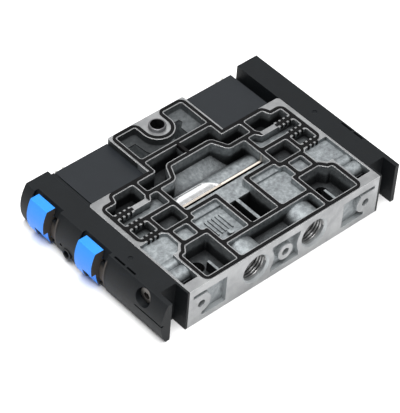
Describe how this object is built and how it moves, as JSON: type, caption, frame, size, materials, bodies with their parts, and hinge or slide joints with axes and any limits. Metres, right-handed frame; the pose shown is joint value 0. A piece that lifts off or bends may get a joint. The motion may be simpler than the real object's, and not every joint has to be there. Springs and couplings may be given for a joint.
{
  "type": "pneumatic valve island slice",
  "caption": "Slim aluminium valve slice of a pneumatic valve island, with a labyrinth face seal, black end caps, solenoid pilots and blue manual override covers.",
  "frame": {"origin": "middle of the plain stacking face of the aluminium body, halfway between the end caps and halfway from the port face to the shoulders that carry the pilots", "axes": "+X along the spool, towards the flat end cap; +Y from the port face back to the pilots; +Z through the slice, from the plain stacking face to the sealing face"},
  "size_m": [0.0909, 0.0609, 0.0151],
  "materials": {
    "cast_aluminium": "die cast, fine satin, machined on the sealing and port faces",
    "seal_rubber": "matt moulded nitrile rubber",
    "cap_plastic": "finely spark-eroded glass-filled plastic",
    "pilot_plastic": "satin moulded plastic",
    "blue_plastic": "satin moulded plastic",
    "steel": "turned, bright zinc",
    "tinned_pins": "tin plated",
    "spool_aluminium": "turned and anodised",
    "winding": "enamelled copper wire",
    "nozzle_brass": "turned"
  },
  "bodies": {
    "slice": {"valve_body": "cast_aluminium", "face_seal": "seal_rubber", "left_cap": "cap_plastic", "right_cap": "cap_plastic", "tie_rod_sleeve": "steel", "cap_screws": "steel", "contact_pins": "tinned_pins", "left_end_gasket": "seal_rubber", "left_centring_spring": "steel", "right_end_gasket": "seal_rubber", "right_centring_spring": "steel", "stem_spring_14": "steel", "pilot_housing_14": "pilot_plastic", "pilot_coil_14": "winding", "armature_tube_14": "steel", "pole_core_14": "steel", "armature_spring_14": "steel", "seat_nozzle_14": "nozzle_brass", "stem_spring_12": "steel", "pilot_housing_12": "pilot_plastic", "pilot_coil_12": "winding", "armature_tube_12": "steel", "pole_core_12": "steel", "armature_spring_12": "steel", "seat_nozzle_12": "nozzle_brass"},
    "spool_set": {"spool": "spool_aluminium", "spool_lands": "seal_rubber", "left_piston": "seal_rubber", "right_piston": "seal_rubber"},
    "cover_14": {"override_cover_14": "blue_plastic"},
    "stem_14": {"override_stem_14": "steel"},
    "plunger_14": {"armature_14": "steel", "poppet_pad_14": "seal_rubber"},
    "cover_12": {"override_cover_12": "blue_plastic"},
    "stem_12": {"override_stem_12": "steel", "stem_seal_12": "seal_rubber"},
    "plunger_12": {"armature_12": "steel", "poppet_pad_12": "seal_rubber"}
  },
  "joints": [
    {"name": "spool_shift", "type": "slide", "parent": "slice", "child": "spool_set", "axis": [1, 0, 0], "range_m": [-0.0015, 0.0015], "stiffness_N_per_m": 300, "deforming": ["left_centring_spring", "right_centring_spring"]},
    {"name": "cover_14_slide", "type": "slide", "parent": "slice", "child": "cover_14", "axis": [0, -1, 0], "range_m": [0, 0.0022]},
    {"name": "stem_14_push", "type": "slide", "parent": "slice", "child": "stem_14", "axis": [1, 0, 0], "range_m": [0, 0.0005], "deforming": ["stem_spring_14"]},
    {"name": "plunger_14_lift", "type": "slide", "parent": "slice", "child": "plunger_14", "axis": [1, 0, 0], "range_m": [0, 0.0005], "deforming": ["armature_spring_14"]},
    {"name": "cover_12_slide", "type": "slide", "parent": "slice", "child": "cover_12", "axis": [0, -1, 0], "range_m": [0, 0.0022]},
    {"name": "stem_12_push", "type": "slide", "parent": "slice", "child": "stem_12", "axis": [1, 0, 0], "range_m": [0, 0.0005], "deforming": ["stem_spring_12"]},
    {"name": "plunger_12_lift", "type": "slide", "parent": "slice", "child": "plunger_12", "axis": [-1, 0, 0], "range_m": [0, 0.0005], "stiffness_N_per_m": 200, "springref_m": -0.0005, "deforming": ["armature_spring_12"]}
  ],
  "couplings": [
    {"joint": "stem_14_push", "follows": "cover_14_slide", "ratio": 0.22727},
    {"joint": "plunger_14_lift", "follows": "cover_14_slide", "ratio": 0.22727},
    {"joint": "stem_12_push", "follows": "cover_12_slide", "ratio": 0.22727}
  ]
}
